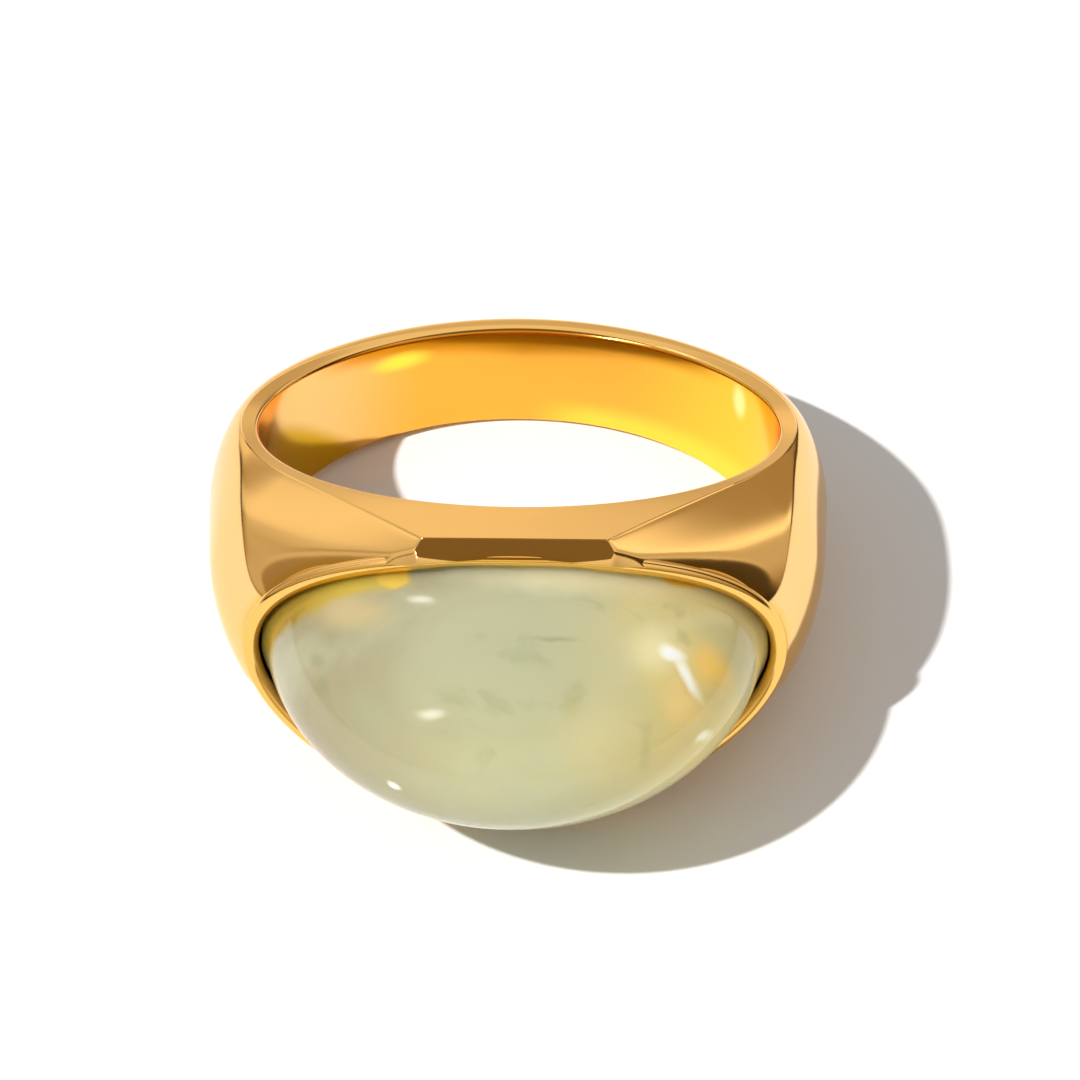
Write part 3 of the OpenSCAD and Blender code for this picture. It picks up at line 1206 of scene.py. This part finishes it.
# %% The plan of the room
room_plan = {
    "wall brightens": (2, 38),
    "left wall ends": (-66, -56),
    "left wall brightens": (12, 45),
    "left shade": (-64, -57, -52, -47),
    "left shade's height": (18, 25),
    "left strip": (-45, -43, -39, -35),
    "right wall": (16, 30, 60, 68),
    "right wall's top": (30, 40),
    "right wall brightens": (40, 45.5),
    "right wall darkens": (46.5, 49),
    "card": (-34, -26, 8, 16),
    "card's top": (22, 30),
    "card's foot": (-8, -7),
    "card's bright band": (-4, 0, 3, 7),
    "card darkens": (-1, 1.5),
    "ceiling": (52, 62),
    "right gap": (69, 72, 91, 95),
    "left line": (-97, -95, -93, -91),
    "left patch": (-80, -77, -72.5, -70),
    "left patch's height": (14, 17, 24, 27),
    "low sides": (46, 50, 74, 78),
    "horizon": (-0.5, 0.5),
    "left lamp": (-112, -104, -102, -94),
    "left lamp's height": (46, 55, 57, 65),
    "slanted lamp": (-30, -27, -25, -22),
    "slanted lamp's height": (39.5, 41, 41.4, 42.9),
}
room_light = {
    "wall": (0.45, 0.95),
    "left wall": (0.66, 0.95),
    "left shade": 0.25,
    "left strip": 0.36,
    "right wall": (0.42, 1.5),
    "right wall darkens": 0.85,
    "card": (0.74, 1.03),
    "card darkens": 0.82,
    "ceiling": 0.22,
    "right gap": 0.92,
    "left line": 0.8,
    "left patch": 0.5,
    "low sides": 0.7,
    "darkest": 0.04,
    "lamps": 16,
}
LAMP_SLANT = 0.65
SLANTED_LAMP_BEARING = -26
print(len(room_plan), "stretches in the plan of the room")

# %% The light of the room


def share_of(value, name):
    start, full, *end = room_plan[name]
    share = ramp(value, start, full)
    return share * (1 - ramp(value, *end)) if end else share


def wall_light(turn, height, card):
    lights = room_light
    wall = blend(*lights["wall"], share_of(height, "wall brightens"))
    left = blend(*lights["left wall"], share_of(height, "left wall brightens"))
    wall = blend(wall, left, 1 - share_of(turn, "left wall ends"))
    left_shade = lights["left shade"] * share_of(turn, "left shade")
    wall = wall - left_shade * share_of(height, "left shade's height")
    wall = wall + lights["left strip"] * share_of(turn, "left strip")
    right = blend(*lights["right wall"], share_of(turn, "right wall brightens"))
    right = right - lights["right wall darkens"] * share_of(turn, "right wall darkens")
    wall = blend(wall, right, share_of(turn, "right wall") * (1 - share_of(height, "right wall's top")))
    card_light = blend(*lights["card"], share_of(height, "card's bright band"))
    card_light = card_light * blend(1, lights["card darkens"], share_of(turn, "card darkens"))
    return blend(wall, card_light, card)


def mirrored_light(turn, height):
    """How bright the room looks in the metal, without its lamps."""
    lights = room_light
    card = share_of(turn, "card") * (1 - share_of(height, "card's top"))
    ceiling = share_of(height, "ceiling")
    light = blend(wall_light(turn, height, card), lights["ceiling"], ceiling)
    dark_places = {
        "right gap": share_of(turn, "right gap") * (1 - ceiling),
        "left line": share_of(turn, "left line") * (1 - ceiling),
        "left patch": share_of(turn, "left patch") * share_of(height, "left patch's height"),
    }
    for name, share in dark_places.items():
        light = light * (1 - lights[name] * share)
    low_sides = share_of(without_sign(turn), "low sides") * lights["low sides"]
    card_foot = card * share_of(height, "card's foot")
    above_floor = largest(share_of(height, "horizon"), largest(card_foot, low_sides))
    return largest(light * above_floor, lights["darkest"])


def lamp_light(turn, height):
    left = share_of(turn, "left lamp") * share_of(height, "left lamp's height")
    level = height - LAMP_SLANT * (turn - SLANTED_LAMP_BEARING)
    slanted = share_of(turn, "slanted lamp") * share_of(level, "slanted lamp's height")
    return room_light["lamps"] * (left + slanted)


print("lamp strength:", room_light["lamps"])

# %% The room
ROOM_TINTS = {"dark": (1.0, 0.62, 0.2), "pale": (1.0, 0.86, 0.62), "lamp": (1.0, 0.97, 0.92)}
FILL_COLOUR = (1.0, 0.975, 0.95, 1)
FILL_STRENGTH = 0.45


def room():
    world = bpy.data.worlds.new("pale_room")
    bpy.context.scene.world = world
    world.use_nodes = True
    tree = world.node_tree
    tree.nodes.clear()
    x, y, z = axes_of(tree, tree.nodes.new("ShaderNodeTexCoord").outputs["Generated"])
    degree = math.pi / 180
    height = math_node("ARCSINE", z) / degree
    turn = math_node("ARCTAN2", x, y) / degree
    ray = tree.nodes.new("ShaderNodeLightPath")
    straight = 1 - held(Wire(tree, ray.outputs["Diffuse Depth"]))
    light = mirrored_light(turn, height) + lamp_light(turn, height) * straight

    walls = tree.nodes.new("ShaderNodeBackground")
    tint = mixed(tree, ramp(light, 0.1, 0.8), ROOM_TINTS["dark"], ROOM_TINTS["pale"])
    tint = mixed(tree, ramp(light, 1.3, 3), tint, ROOM_TINTS["lamp"])
    tree.links.new(tint, walls.inputs["Color"])
    tree.links.new(light.socket, walls.inputs["Strength"])
    fill = tree.nodes.new("ShaderNodeBackground")
    fill.inputs["Color"].default_value = FILL_COLOUR
    fill.inputs["Strength"].default_value = FILL_STRENGTH
    mix = tree.nodes.new("ShaderNodeMixShader")
    tree.links.new(ray.outputs["Is Glossy Ray"], mix.inputs["Fac"])
    tree.links.new(fill.outputs[0], mix.inputs[1])
    tree.links.new(walls.outputs[0], mix.inputs[2])
    done = tree.nodes.new("ShaderNodeOutputWorld")
    tree.links.new(mix.outputs[0], done.inputs["Surface"])
    spread_out(tree)
    return world


print("world:", room().name)

# %% [markdown]
# The camera stands far off with a long lens, a little to the right of the ring's middle. Its angle is
# measured to the plane of the finger hole, where the two rims of the hole gave it, and the ring's
# lean comes on top. It looks past the hole's middle, because the hole isn't in the picture's centre.

# %% The camera
PICTURE = 1080
HOLE_PIXEL = Vector((518.5, 499.5))
PIXELS_PER_MM = 29.956
DISTANCE = 300
SENSOR = 36
view_turn = math.radians(0.56)
view_roll = math.radians(0.29)


def add_camera():
    data = bpy.data.cameras.new("camera")
    data.sensor_width = SENSOR
    data.lens = PIXELS_PER_MM * DISTANCE / PICTURE * SENSOR
    data.clip_start = 0.01
    data.clip_end = 10
    camera = bpy.data.objects.new("camera", data)
    bpy.context.scene.collection.objects.link(camera)
    bpy.context.scene.camera = camera
    flat = math.cos(view_height)
    towards = Vector((flat * math.sin(view_turn), -flat * math.cos(view_turn), math.sin(view_height)))
    towards = Matrix.Rotation(-lean, 3, "X") @ towards
    turned = (-towards).to_track_quat("-Z", "Y").to_matrix() @ Matrix.Rotation(view_roll, 3, "Z")
    off_centre = (Vector((PICTURE / 2, PICTURE / 2)) - HOLE_PIXEL) / PIXELS_PER_MM
    aim = hole_middle + turned @ Vector((off_centre.x, -off_centre.y, 0))
    stand = hole_middle + towards * DISTANCE
    looking = (aim - stand).to_track_quat("-Z", "Y").to_matrix() @ Matrix.Rotation(view_roll, 3, "Z")
    camera.matrix_world = Matrix.Translation(stand * MM) @ looking.to_4x4()
    return camera


camera = add_camera()
bpy.context.scene.view_settings.view_transform = "Standard"
print("lens in mm:", round(camera.data.lens, 1))

# %% [markdown]
# Last, the view layer is brought up to date.

# %% Bring the view layer up to date
bpy.context.view_layer.update()
